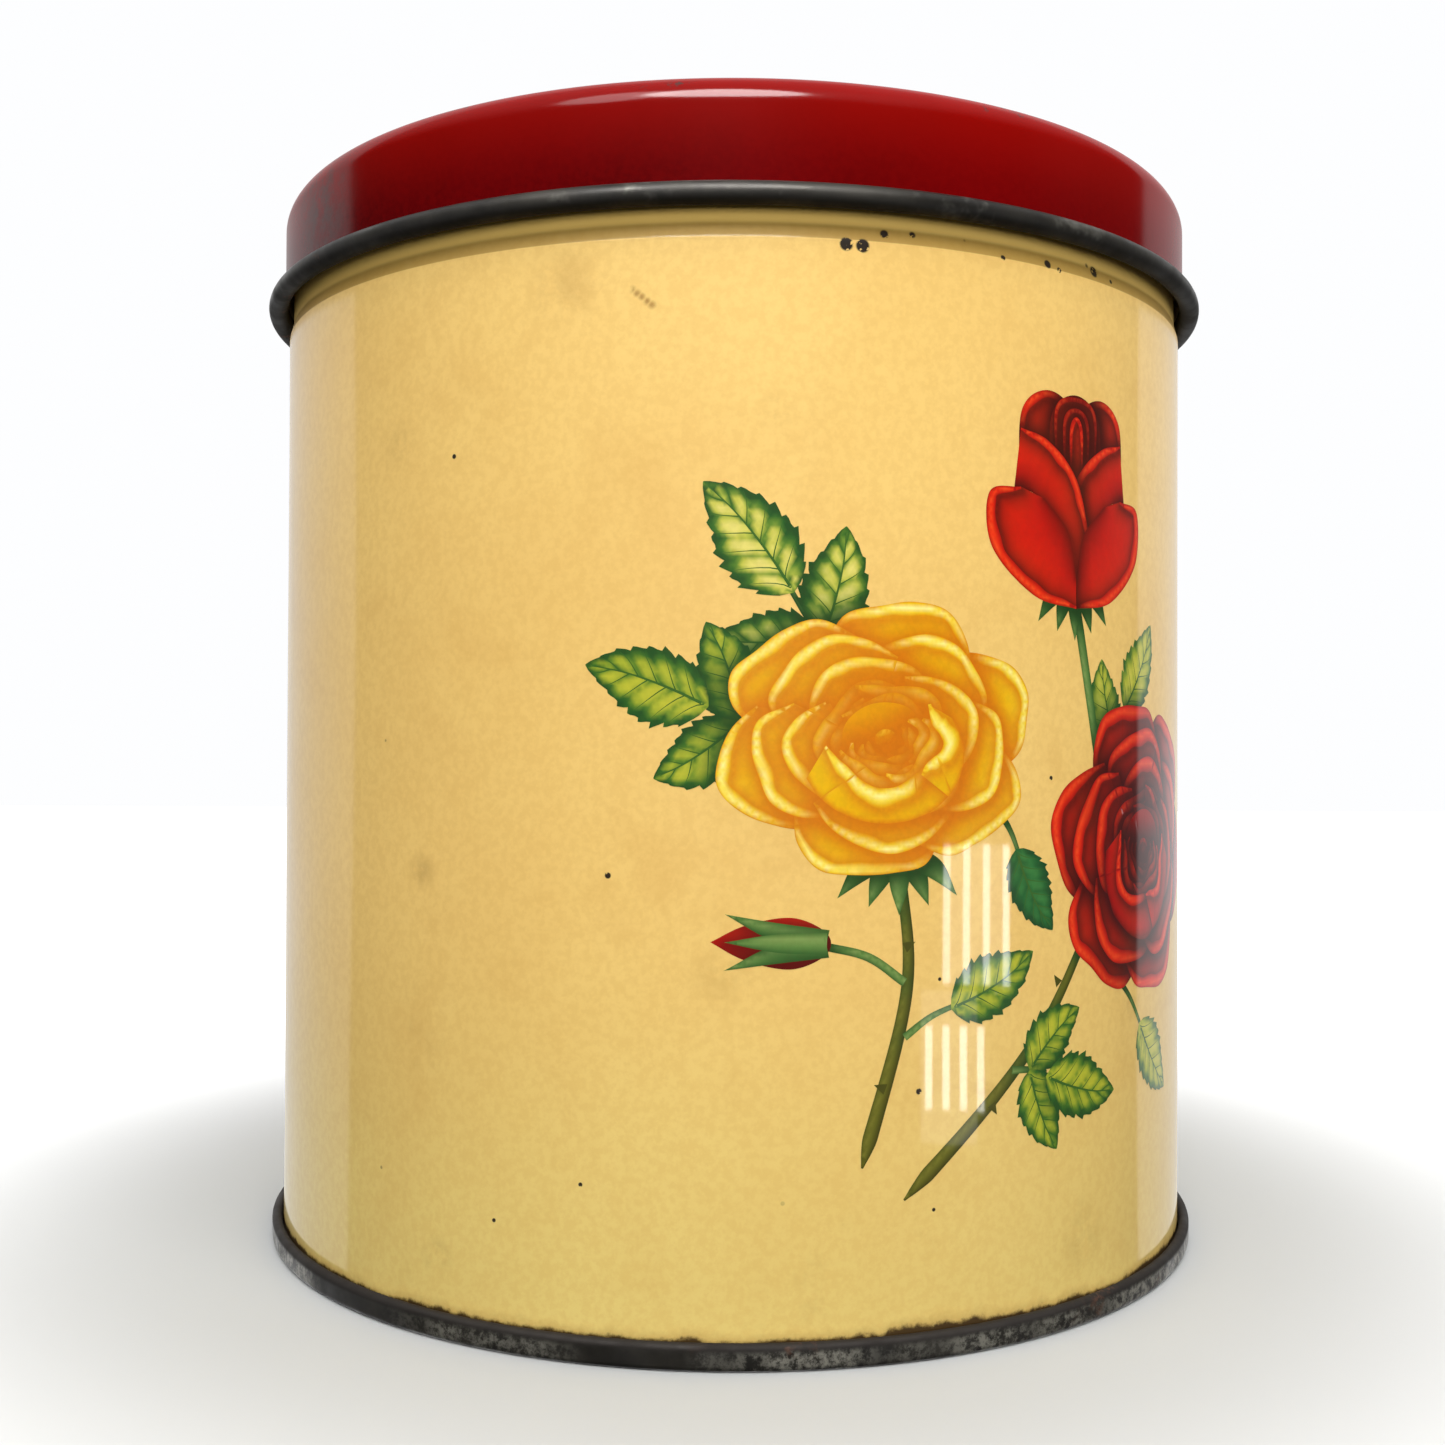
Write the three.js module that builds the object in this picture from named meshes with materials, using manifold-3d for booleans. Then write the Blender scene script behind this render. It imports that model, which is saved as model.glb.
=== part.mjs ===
// Round slip-lid coffee tin made of tinplate: a seamed body, a double-seamed base and a drawn lid.
// Millimetres, +Z up. The origin is the centre of the ring that the tin stands on.
import * as THREE from 'three';
import { mergeVertices } from 'three/addons/utils/BufferGeometryUtils.js';
import Module from 'manifold-3d';

// Sheet
const SHEET = 0.3; // thickness of the tinplate
const LAYER_GAP = 0.15; // air between folded layers

// Body
const BODY_RADIUS = 57; // outside of the wall
const NECK_RADIUS = 56.6; // outside of the neck that the lid slides over
const SHOULDER_LOW = 110; // height where the wall starts to narrow
const SHOULDER_HIGH = 111.4; // height where the neck starts
const RIM_TOP = 125; // top of the neck's inward curl
const RIM_CURL_RADIUS = 1; // outside radius of that curl's section

// Lid
const LID_RADIUS = 57.5; // outside of the skirt
const LID_TOP = 126.3; // top of the raised margin
const LID_CORNER_RADIUS = 3; // outside, between margin and skirt
const LID_RECESS_DEPTH = 0.8; // the middle panel lies this far below the margin
const LID_RECESS_RADIUS = 48.5; // where the panel's step begins
const LID_STEP_WIDTH = 1.5; // the step's run from panel to margin
const BEAD_RADIUS = 1.15; // outside radius of the outward curl's section
const BEAD_HEIGHT = 113.8; // centre of that section

// Base and its double seam
const BASE_PANEL_TOP = 3.75; // upper face of the sunk base panel
const BASE_PANEL_BEND = 0.8; // bend from the panel down into the seam, at mid sheet
const SEAM_TOP = 2.7;
const SEAM_CORNER = 0.5; // the seam's lower corners, at mid sheet
const COVER_HOOK_TIP = 1.0; // lower edge of the base's hook
const BODY_HOOK_TIP = 1.75; // upper edge of the body's hook
const COMPOUND_RADIUS = 0.15; // section of the sealing ring

// Lock seam down the back of the body
const LOCK_AZIMUTH = 45; // degrees from +X towards +Y
const LOCK_WIDTH = 3.8;
const LOCK_LAYERS = 3; // folded layers that stand inward from the wall
const LOCK_LOW = 6;
const LOCK_HIGH = 108;
const GROOVE_WIDTH = 0.3; // line where the two edges meet on the outside
const GROOVE_DEPTH = 0.12;
const SOLDER_RADIUS = 0.5; // fillet along the lock seam's inner edge

const SEGMENTS = 48; // round the axis
const ARC_STEP = Math.PI / 4; // coarsest step along a bend
const DEGREE = Math.PI / 180;

const wasm = await Module();
wasm.setup();

// Middle radii of the sheet's layers in the double seam, from the inside out
const layerPitch = SHEET + LAYER_GAP;
const bodyMid = BODY_RADIUS - SHEET / 2;
const neckMid = NECK_RADIUS - SHEET / 2;
const chuckWallMid = bodyMid - layerPitch;
const coverHookMid = bodyMid + layerPitch;
const bodyHookMid = bodyMid + 2 * layerPitch;
const seamWallMid = bodyMid + 3 * layerPitch;

function point(radius, height) {
  return new THREE.Vector2(radius, height);
}

// Points of an arc between two angles in degrees, both ends included
function arc(centre, radius, from, to) {
  const sweep = (to - from) * DEGREE;
  const steps = Math.max(2, Math.ceil(Math.abs(sweep) / ARC_STEP));
  const points = [];
  for (let i = 0; i <= steps; i += 1) {
    const angle = from * DEGREE + (sweep * i) / steps;
    points.push(point(centre.x + radius * Math.cos(angle), centre.y + radius * Math.sin(angle)));
  }
  return points;
}

// Direction across the middle line at one of its points, long enough to mitre a corner
function acrossLine(line, index) {
  const here = line[index];
  const before = line[Math.max(index - 1, 0)];
  const after = line[Math.min(index + 1, line.length - 1)];
  const into = here.clone().sub(before);
  const outOf = after.clone().sub(here);
  const first = (index === 0 ? outOf : into).normalize();
  const second = (index === line.length - 1 ? first.clone() : outOf).normalize();
  const across = point(-first.y - second.y, first.x + second.x);
  return across.divideScalar(1 + first.dot(second));
}

// Outline of a sheet around its middle line; it closes on itself unless it starts on the axis
function sheetOutline(line) {
  const half = SHEET / 2;
  const side = (offset) => line.map((p, i) => p.clone().addScaledVector(acrossLine(line, i), offset));
  const outline = [...side(-half), ...side(half).reverse()];
  if (line[0].x > 0) outline.push(outline[0].clone());
  return outline;
}

// Solid of revolution about +Z from an outline of (radius, height) points
function revolve(outline) {
  return new THREE.LatheGeometry(outline, SEGMENTS).rotateX(Math.PI / 2);
}

function toSolid(geometry) {
  const bare = geometry.clone();
  bare.deleteAttribute('normal');
  bare.deleteAttribute('uv');
  const merged = mergeVertices(bare, 1e-5);
  const vertProperties = new Float32Array(merged.attributes.position.array);
  const triVerts = new Uint32Array(merged.index.array);
  return new wasm.Manifold(new wasm.Mesh({ numProp: 3, vertProperties, triVerts }));
}

function toGeometry(solid) {
  const { vertProperties, triVerts } = solid.getMesh();
  const geometry = new THREE.BufferGeometry();
  geometry.setAttribute('position', new THREE.BufferAttribute(vertProperties, 3));
  geometry.setIndex(new THREE.BufferAttribute(triVerts, 1));
  return geometry;
}

// Box between two corners
function block(low, high) {
  const size = high.clone().sub(low);
  const middle = low.clone().add(high).multiplyScalar(0.5);
  return new THREE.BoxGeometry(size.x, size.y, size.z).translate(middle.x, middle.y, middle.z);
}

function named(name, geometry, colour, roughness, metalness) {
  const mesh = new THREE.Mesh(geometry, new THREE.MeshStandardMaterial({ color: colour, roughness, metalness }));
  mesh.name = name;
  return mesh;
}

// Wall with a curled rim, a neck and, at the foot, the hook that locks into the base's seam
function bodyLine() {
  const curl = RIM_CURL_RADIUS - SHEET / 2;
  const curlCentre = point(neckMid - curl, RIM_TOP - RIM_CURL_RADIUS);
  const hook = (bodyHookMid - bodyMid) / 2;
  const hookCentre = point(bodyMid + hook, SHEET + LAYER_GAP + SHEET / 2 + hook);
  return [
    ...arc(curlCentre, curl, 290, 0),
    point(neckMid, SHOULDER_HIGH),
    point(bodyMid, SHOULDER_LOW),
    ...arc(hookCentre, hook, 180, 360),
    point(bodyHookMid, BODY_HOOK_TIP),
  ];
}

// The two edges of the sheet are folded together inward down the back
function lockSeam() {
  const inner = bodyMid - SHEET / 2 - LOCK_LAYERS * SHEET;
  const low = new THREE.Vector3(-LOCK_WIDTH / 2, inner, LOCK_LOW);
  const high = new THREE.Vector3(LOCK_WIDTH / 2, bodyMid, LOCK_HIGH);
  return toSolid(block(low, high));
}

// Fine line left on the outside where the folded edges meet
function seamGroove() {
  const edge = LOCK_WIDTH / 2;
  const wall = Math.sqrt(BODY_RADIUS ** 2 - edge ** 2);
  const low = new THREE.Vector3(edge - GROOVE_WIDTH, wall - GROOVE_DEPTH, SEAM_TOP + 1);
  const high = new THREE.Vector3(edge, BODY_RADIUS + 1, SHOULDER_LOW - 1);
  return toSolid(block(low, high));
}

// Turns a piece whose lock seam is drawn at +Y, so that the seam stands at its azimuth
function turnedToLock(mesh) {
  mesh.rotation.z = (LOCK_AZIMUTH - 90) * DEGREE;
  return mesh;
}

function bodyShell() {
  const shell = toSolid(revolve(sheetOutline(bodyLine()))).add(lockSeam()).subtract(seamGroove());
  return turnedToLock(named('body_shell', toGeometry(shell), '#e8cc8a', 0.3, 0.1));
}

// Fillet of solder in the corner between the lock seam and the wall
function sideSeamSolder() {
  const inset = 0.25;
  const corner = point(LOCK_WIDTH / 2 + inset, BODY_RADIUS - SHEET - inset - 0.1);
  const section = new THREE.Shape();
  section.moveTo(corner.x, corner.y);
  section.absarc(corner.x, corner.y, SOLDER_RADIUS, -Math.PI / 2, 0, false);
  section.lineTo(corner.x, corner.y);
  const length = LOCK_HIGH - LOCK_LOW - 2;
  const fillet = new THREE.ExtrudeGeometry(section, { depth: length, bevelEnabled: false, curveSegments: 4 });
  fillet.translate(0, 0, LOCK_LOW + 1);
  return turnedToLock(named('side_seam_solder', fillet, '#8d8c88', 0.5, 0.9));
}

// Sunk panel, wall up the inside of the body, and the hook over the body's own hook
function baseLine() {
  const panel = BASE_PANEL_TOP - SHEET / 2;
  const foot = SHEET / 2 + SEAM_CORNER;
  const hook = (seamWallMid - coverHookMid) / 2;
  const hookCentre = point(coverHookMid + hook, SEAM_TOP - SHEET / 2 - hook);
  return [
    point(0, panel),
    ...arc(point(chuckWallMid - BASE_PANEL_BEND, panel - BASE_PANEL_BEND), BASE_PANEL_BEND, 90, 0),
    ...arc(point(chuckWallMid + SEAM_CORNER, foot), SEAM_CORNER, 180, 270),
    ...arc(point(seamWallMid - SEAM_CORNER, foot), SEAM_CORNER, 270, 360),
    ...arc(hookCentre, hook, 0, 180),
    point(coverHookMid, COVER_HOOK_TIP),
  ];
}

function baseEnd() {
  return named('base_end', revolve(sheetOutline(baseLine())), '#45433f', 0.45, 0.85);
}

// Ring of sealing compound above the body's hook, inside the top fold of the seam
function seamCompound() {
  const centre = point(bodyHookMid, SEAM_TOP - SHEET / 2 - (seamWallMid - coverHookMid) / 2);
  const ring = revolve(arc(centre, COMPOUND_RADIUS, 0, 360));
  return named('seam_compound', ring, '#6b5a44', 0.9, 0);
}

// Panel, step, margin, rounded corner, skirt and the bead that its edge is curled out into
function lidLine() {
  const skirt = LID_RADIUS - SHEET / 2;
  const margin = LID_TOP - SHEET / 2;
  const corner = LID_CORNER_RADIUS - SHEET / 2;
  const bead = BEAD_RADIUS - SHEET / 2;
  return [
    point(0, margin - LID_RECESS_DEPTH),
    point(LID_RECESS_RADIUS, margin - LID_RECESS_DEPTH),
    point(LID_RECESS_RADIUS + LID_STEP_WIDTH, margin),
    ...arc(point(skirt - corner, margin - corner), corner, 90, 0),
    ...arc(point(skirt + bead, BEAD_HEIGHT), bead, 180, 475),
  ];
}

function lidShell() {
  return named('lid_shell', revolve(sheetOutline(lidLine())), '#7c0d12', 0.25, 0.1);
}

const can = new THREE.Group();
can.add(bodyShell(), baseEnd(), seamCompound(), sideSeamSolder());

const lid = new THREE.Group();
lid.add(lidShell());

const tin = new THREE.Group();
tin.name = 'coffee_tin';
tin.add(can, lid);

export default tin;
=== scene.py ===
import functools
import math

import bmesh
import bpy
import numpy as np
from mathutils import Matrix, Vector
from mathutils.geometry import delaunay_2d_cdt

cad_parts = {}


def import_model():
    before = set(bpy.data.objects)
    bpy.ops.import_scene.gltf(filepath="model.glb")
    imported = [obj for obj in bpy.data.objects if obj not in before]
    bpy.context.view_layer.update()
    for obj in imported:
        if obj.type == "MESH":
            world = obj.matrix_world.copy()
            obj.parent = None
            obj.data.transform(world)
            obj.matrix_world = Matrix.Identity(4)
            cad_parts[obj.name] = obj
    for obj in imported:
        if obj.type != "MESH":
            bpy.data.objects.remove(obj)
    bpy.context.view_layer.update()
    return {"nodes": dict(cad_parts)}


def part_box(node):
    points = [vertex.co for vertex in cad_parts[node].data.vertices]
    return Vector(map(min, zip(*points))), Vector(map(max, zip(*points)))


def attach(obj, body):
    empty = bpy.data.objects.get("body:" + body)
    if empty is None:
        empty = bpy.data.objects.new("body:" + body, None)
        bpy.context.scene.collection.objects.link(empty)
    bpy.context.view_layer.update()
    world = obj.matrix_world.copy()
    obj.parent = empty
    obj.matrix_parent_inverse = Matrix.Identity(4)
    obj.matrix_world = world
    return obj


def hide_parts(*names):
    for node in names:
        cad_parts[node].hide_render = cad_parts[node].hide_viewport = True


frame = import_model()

MM = 0.001

# ---- sizes, in millimetres
SHEET = 0.3
BODY_RADIUS = 57.0
NECK_RADIUS = 56.5
SHOULDER_LOW = 110.0
SHOULDER_HIGH = 111.6
RIM_TOP = 125.0
RIM_CURL = 1.0
LID_RADIUS = 57.5
LID_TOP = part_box("lid_shell")[1][2] / MM
LID_CORNER = 3.0
SKIRT_TOP = 122.9
LID_RECESS_DEPTH = 0.8
LID_RECESS_RADIUS = 48.5
LID_STEP = 1.5
BEAD_RADIUS = 1.15
BEAD_HEIGHT = 113.8
BASE_PANEL_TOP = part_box("base_end")[1][2] / MM
BASE_BEND = 0.8
SEAM_TOP = 2.7
SEAM_CORNER = 0.5
LAYER = SHEET + 0.15  # one folded layer with its gap
LOCK_AZIMUTH = 135.0  # from the front, -Y, towards +X
LOCK_WIDTH = 3.8
LOCK_INWARD = 3 * SHEET  # folded layers that stand inward from the wall
LOCK_LOW = 6.0
LOCK_HIGH = 108.0
BARE_MARGIN = 116.6  # the enamel on the neck ends here
GROOVE_WIDTH = 0.3
GROOVE_DEPTH = 0.12
INK_LIFT = 0.02  # thickness of the printed ink over the enamel
RING = 320  # steps round the axis


# ---- sheet-metal shells
def arc(centre, radius, start, end, step=12.0):
    """Points on an arc between two angles in degrees, ends included."""
    count = max(2, math.ceil(abs(end - start) / step))
    angles = np.radians(np.linspace(start, end, count + 1))
    return [(centre[0] + radius * math.cos(a), centre[1] + radius * math.sin(a)) for a in angles]


def offset_line(line, distance):
    """The line moved sideways by a distance, with mitred corners."""
    p = np.array(line, float)
    step = np.diff(p, axis=0)
    step /= np.linalg.norm(step, axis=1)[:, None]
    before = np.vstack([step[:1], step])
    after = np.vstack([step, step[-1:]])
    across = np.column_stack([-before[:, 1] - after[:, 1], before[:, 0] + after[:, 0]])
    across /= (1 + (before * after).sum(1))[:, None]
    return p + across * distance


def wall_wobble(angle, height):
    """How far the thin wall stands out of round, in millimetres, at an angle in radians."""
    swell = 0.05 * np.sin(2 * angle + 0.6) * np.sin(height / 38.0 + 0.4)
    ripple = 0.025 * np.sin(5 * angle + height / 24.0) + 0.012 * np.sin(11 * angle - height / 15.0 + 1.3)
    edge = np.clip((height - 3.0) / 12.0, 0, 1) * np.clip((109.0 - height) / 12.0, 0, 1)
    return (swell + ripple) * edge


def ring_angles():
    """Steps round the axis, closer together at the edges of the lock seam. Angle 0 faces the front, -Y."""
    even = np.linspace(0, 2 * math.pi, RING, endpoint=False)
    half = LOCK_WIDTH / 2
    near = np.array([-half - 0.05, -half, half - GROOVE_WIDTH - 0.05, half - GROOVE_WIDTH, half, half + 0.05])
    return np.sort(np.append(even, math.radians(LOCK_AZIMUTH) + near / BODY_RADIUS))


ANGLES = ring_angles()


def lock_seam(angle, height, inside):
    """The folded strip down the back: it stands inward, with a fine groove outside along one edge."""
    across = (angle - math.radians(LOCK_AZIMUTH)) * BODY_RADIUS
    half = LOCK_WIDTH / 2 + 0.001
    runs = (height > LOCK_LOW - 0.001) & (height < LOCK_HIGH + 0.001)
    strip = runs & (np.abs(across) < half)
    groove = strip & (across > half - GROOVE_WIDTH - 0.002)
    return np.where(inside, strip * -LOCK_INWARD, groove * -GROOVE_DEPTH)


def ring_points(radius, height, inside, wobble):
    """One circle of points per profile point."""
    r = np.asarray(radius)[:, None] + np.zeros(len(ANGLES))
    z = np.asarray(height)[:, None] + np.zeros(len(ANGLES))
    if wobble is not None:
        r = r + wobble(ANGLES[None, :], z) + lock_seam(ANGLES[None, :], z, np.asarray(inside)[:, None])
    return np.stack([r * np.sin(ANGLES), -r * np.cos(ANGLES), z], axis=2)


def shell(name, line, slots, slot_of, wobble, body, stands_for):
    """Sheet-metal piece turned about the axis. slot_of(side, point) picks a material per strip."""
    left = offset_line(line, -SHEET / 2)
    right = offset_line(line, SHEET / 2)
    on_axis = line[0][0] == 0
    outline = np.vstack([left, right[::-1]])
    sides = [-1] * len(left) + [1] * len(right)
    points = ring_points(np.maximum(outline[:, 0], 0), outline[:, 1], np.array(sides) < 0, wobble)
    ring = len(ANGLES)
    count = len(outline)
    verts = points.reshape(-1, 3) * MM
    faces = []
    marks = []
    last = count - 1 if on_axis else count
    for i in range(last):
        j = (i + 1) % count
        middle = (outline[i] + outline[j]) / 2
        mark = slot_of(sides[i], middle)
        for k in range(ring):
            n = (k + 1) % ring
            faces.append((i * ring + k, i * ring + n, j * ring + n, j * ring + k))
            marks.append(mark)
    mesh = bpy.data.meshes.new(name)
    mesh.from_pydata([tuple(v) for v in verts], [], faces)
    for material in slots:
        mesh.materials.append(material)
    mesh.polygons.foreach_set("material_index", marks)
    mesh.update()
    obj = bpy.data.objects.new(name, mesh)
    bpy.context.scene.collection.objects.link(obj)
    clean(obj)
    mesh.polygons.foreach_set("use_smooth", [True] * len(mesh.polygons))
    mesh.set_sharp_from_angle(angle=math.radians(35))
    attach(obj, body)
    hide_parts(stands_for)


def clean(obj):
    """Welds the points on the axis and turns every face outwards."""
    work = bmesh.new()
    work.from_mesh(obj.data)
    bmesh.ops.remove_doubles(work, verts=work.verts, dist=1e-7)
    bmesh.ops.recalc_face_normals(work, faces=work.faces)
    work.to_mesh(obj.data)
    work.free()


def densify(start, end, step):
    """Evenly spaced points on a straight run, both ends included."""
    count = max(1, round(abs(end[1] - start[1]) / step))
    return [tuple(p) for p in np.linspace(start, end, count + 1)]


BODY_MID = BODY_RADIUS - SHEET / 2
NECK_MID = NECK_RADIUS - SHEET / 2


def body_line():
    """The body's profile at mid-sheet, from the curled rim down to the hook in the base seam."""
    curl = RIM_CURL - SHEET / 2
    curl_centre = (NECK_MID - curl, RIM_TOP - RIM_CURL)
    hook_centre = (BODY_MID + LAYER, LAYER + SHEET / 2 + LAYER)
    shoulder = [
        (NECK_MID, SHOULDER_HIGH + 0.35),
        (NECK_MID + 0.03, SHOULDER_HIGH + 0.12),
        (NECK_MID + 0.12, SHOULDER_HIGH - 0.2),
        (BODY_MID - 0.1, SHOULDER_LOW + 0.25),
        (BODY_MID - 0.02, SHOULDER_LOW + 0.08),
    ]
    return (
        arc(curl_centre, curl, 300, 0)
        + shoulder
        + [(BODY_MID, SHOULDER_LOW - 0.1), (BODY_MID, SHOULDER_LOW - 0.4)]
        + [(BODY_MID, SHOULDER_LOW - 0.9), (BODY_MID, LOCK_HIGH + 0.05)]
        + densify((BODY_MID, LOCK_HIGH), (BODY_MID, LOCK_LOW), 4.0)
        + [(BODY_MID, LOCK_LOW - 0.05), (BODY_MID, 4.0)]
        + arc(hook_centre, LAYER, 180, 360)
        + [(BODY_MID + 2 * LAYER, 1.75)]
    )


def lid_line():
    """The lid's profile at mid-sheet, from the middle of its top to the end of the curled bead."""
    skirt = LID_RADIUS - SHEET / 2
    margin = LID_TOP - SHEET / 2
    corner = LID_CORNER - SHEET / 2
    bead = BEAD_RADIUS - SHEET / 2
    step = [
        (LID_RECESS_RADIUS, margin - LID_RECESS_DEPTH),
        (LID_RECESS_RADIUS + 0.4, margin - LID_RECESS_DEPTH + 0.08),
        (LID_RECESS_RADIUS + LID_STEP - 0.4, margin - 0.08),
        (LID_RECESS_RADIUS + LID_STEP, margin),
    ]
    panel = [(r, margin - LID_RECESS_DEPTH) for r in (0, 8, 20, 32, 42)]
    return (
        panel
        + step
        + arc((skirt - corner, margin - corner), corner, 90, 0, 6)
        + densify((skirt, SKIRT_TOP), (skirt, BEAD_HEIGHT + 1.0), 2.0)
        + arc((skirt + bead, BEAD_HEIGHT), bead, 180, 475)
    )


def base_line():
    """The base's profile at mid-sheet, from its middle round the double seam."""
    panel = BASE_PANEL_TOP - SHEET / 2
    foot = SHEET / 2 + SEAM_CORNER
    chuck = BODY_MID - LAYER
    cover = BODY_MID + LAYER
    wall = BODY_MID + 3 * LAYER
    hook = LAYER
    return (
        [(r, panel) for r in (0, 10, 25, 40, 50)]
        + arc((chuck - BASE_BEND, panel - BASE_BEND), BASE_BEND, 90, 0)
        + arc((chuck + SEAM_CORNER, foot), SEAM_CORNER, 180, 270)
        + arc((wall - SEAM_CORNER, foot), SEAM_CORNER, 270, 360)
        + arc((cover + hook, SEAM_TOP - SHEET / 2 - hook), hook, 0, 180)
        + [(cover, 1.0)]
    )


# ---- materials
def rgb(red, green, blue):
    """Linear colour from 0 to 255 screen values."""
    def linear(v):
        v /= 255
        return v / 12.92 if v <= 0.04045 else ((v + 0.055) / 1.055) ** 2.4
    return (linear(red), linear(green), linear(blue), 1.0)


class Nodes:
    """Small helper for building a node tree."""

    def __init__(self, tree):
        self.tree = tree
        tree.nodes.clear()

    def add(self, kind, **settings):
        node = self.tree.nodes.new(kind)
        for key, value in settings.items():
            setattr(node, key, value)
        return node

    def link(self, source, target):
        self.tree.links.new(source, target)

    def put(self, value, target):
        """Links an output, or sets a plain value."""
        if isinstance(value, bpy.types.NodeSocket):
            self.link(value, target)
        else:
            target.default_value = value

    def place(self):
        if not hasattr(self, "_place"):
            self._place = self.add("ShaderNodeTexCoord").outputs["Object"]
        return self._place

    def scaled(self, scale, offset=(0, 0, 0), turn=0.0):
        node = self.add("ShaderNodeMapping")
        node.inputs["Scale"].default_value = scale
        node.inputs["Location"].default_value = offset
        node.inputs["Rotation"].default_value = (0, turn, 0)
        self.link(self.place(), node.inputs["Vector"])
        return node.outputs[0]

    def noise(self, scale, detail=4.0, roughness=0.55, vector=None, distortion=0.0):
        node = self.add("ShaderNodeTexNoise")
        node.inputs["Scale"].default_value = scale
        node.inputs["Detail"].default_value = detail
        node.inputs["Roughness"].default_value = roughness
        node.inputs["Distortion"].default_value = distortion
        self.link(vector or self.place(), node.inputs["Vector"])
        return node.outputs[0]

    def spots(self, scale):
        """Distance to the nearest of scattered points, in cells."""
        node = self.add("ShaderNodeTexVoronoi")
        node.inputs["Scale"].default_value = scale
        self.link(self.place(), node.inputs["Vector"])
        return node.outputs["Distance"]

    def ramp(self, value, low, high, start=0.0, end=1.0):
        """Value mapped smoothly from low..high to start..end."""
        node = self.add("ShaderNodeMapRange", interpolation_type="SMOOTHSTEP")
        node.inputs["From Min"].default_value = low
        node.inputs["From Max"].default_value = high
        node.inputs["To Min"].default_value = start
        node.inputs["To Max"].default_value = end
        self.link(value, node.inputs["Value"])
        return node.outputs[0]

    def math(self, operation, a, b=0.0):
        node = self.add("ShaderNodeMath", operation=operation)
        self.put(a, node.inputs[0])
        self.put(b, node.inputs[1])
        return node.outputs[0]

    def times(self, a, b):
        return self.math("MULTIPLY", a, b)

    def strongest(self, values):
        """The largest of several values."""
        return functools.reduce(lambda a, b: self.math("MAXIMUM", a, b), values)

    def mix(self, factor, a, b):
        node = self.add("ShaderNodeMix", data_type="RGBA")
        self.put(factor, node.inputs["Factor"])
        self.put(a, node.inputs["A"])
        self.put(b, node.inputs["B"])
        return node.outputs["Result"]

    def axis(self, name):
        if not hasattr(self, "_axes"):
            self._axes = self.add("ShaderNodeSeparateXYZ")
            self.link(self.place(), self._axes.inputs[0])
        return self._axes.outputs[name]

    def rise(self, low, high, start=0.0, end=1.0):
        """A value that changes between two heights, given in millimetres."""
        return self.ramp(self.axis("Z"), low * MM, high * MM, start, end)

    def from_axis(self):
        """Distance from the tin's own axis."""
        node = self.add("ShaderNodeVectorMath", operation="LENGTH")
        self.link(self.scaled((1, 1, 0)), node.inputs[0])
        return node.outputs["Value"]

    def near(self, point, radius):
        """1 at a point given in millimetres, falling to 0 at a radius."""
        node = self.add("ShaderNodeVectorMath", operation="DISTANCE")
        self.link(self.place(), node.inputs[0])
        node.inputs[1].default_value = [v * MM for v in point]
        return self.ramp(node.outputs["Value"], 0.0, radius * MM, 1.0, 0.0)


class Surface(Nodes):
    """A material made of one Principled shader."""

    def __init__(self, name):
        self.material = bpy.data.materials.new(name)
        self.material.use_nodes = True
        super().__init__(self.material.node_tree)
        self.shader = self.add("ShaderNodeBsdfPrincipled")
        output = self.add("ShaderNodeOutputMaterial")
        self.link(self.shader.outputs[0], output.inputs["Surface"])

    def set(self, **values):
        for key, value in values.items():
            self.put(value, self.shader.inputs[key.replace("_", " ")])

    def bump(self, height, distance, strength):
        node = self.add("ShaderNodeBump")
        node.inputs["Distance"].default_value = distance
        node.inputs["Strength"].default_value = strength
        self.link(height, node.inputs["Height"])
        self.link(node.outputs[0], self.shader.inputs["Normal"])


def on_wall(arc_mm, height, radius=BODY_RADIUS):
    """Place on the wall, in millimetres, from the distance round it from the front."""
    angle = arc_mm / radius
    return (radius * math.sin(angle), -radius * math.cos(angle), height)


def aged_varnish(n, base, share=1.0):
    """Ageing shared by the enamel and the print: two scales of yellow mottling, and brown foxing."""
    tone = n.noise(26, 6, 0.62)
    base = n.mix(n.ramp(tone, 0.35, 0.68, 0.0, 0.16 * share), base, rgb(206, 150, 70))
    cloud = n.ramp(n.noise(75, 5, 0.6, distortion=0.6), 0.52, 0.74, 0.0, 0.16 * share)
    base = n.mix(cloud, base, rgb(196, 142, 66))
    foxing = n.times(n.ramp(n.noise(70, 6, 0.6), 0.60, 0.74), n.ramp(n.noise(12, 2), 0.45, 0.65))
    return n.mix(n.times(foxing, 0.35 * share), base, rgb(150, 98, 40))


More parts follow.
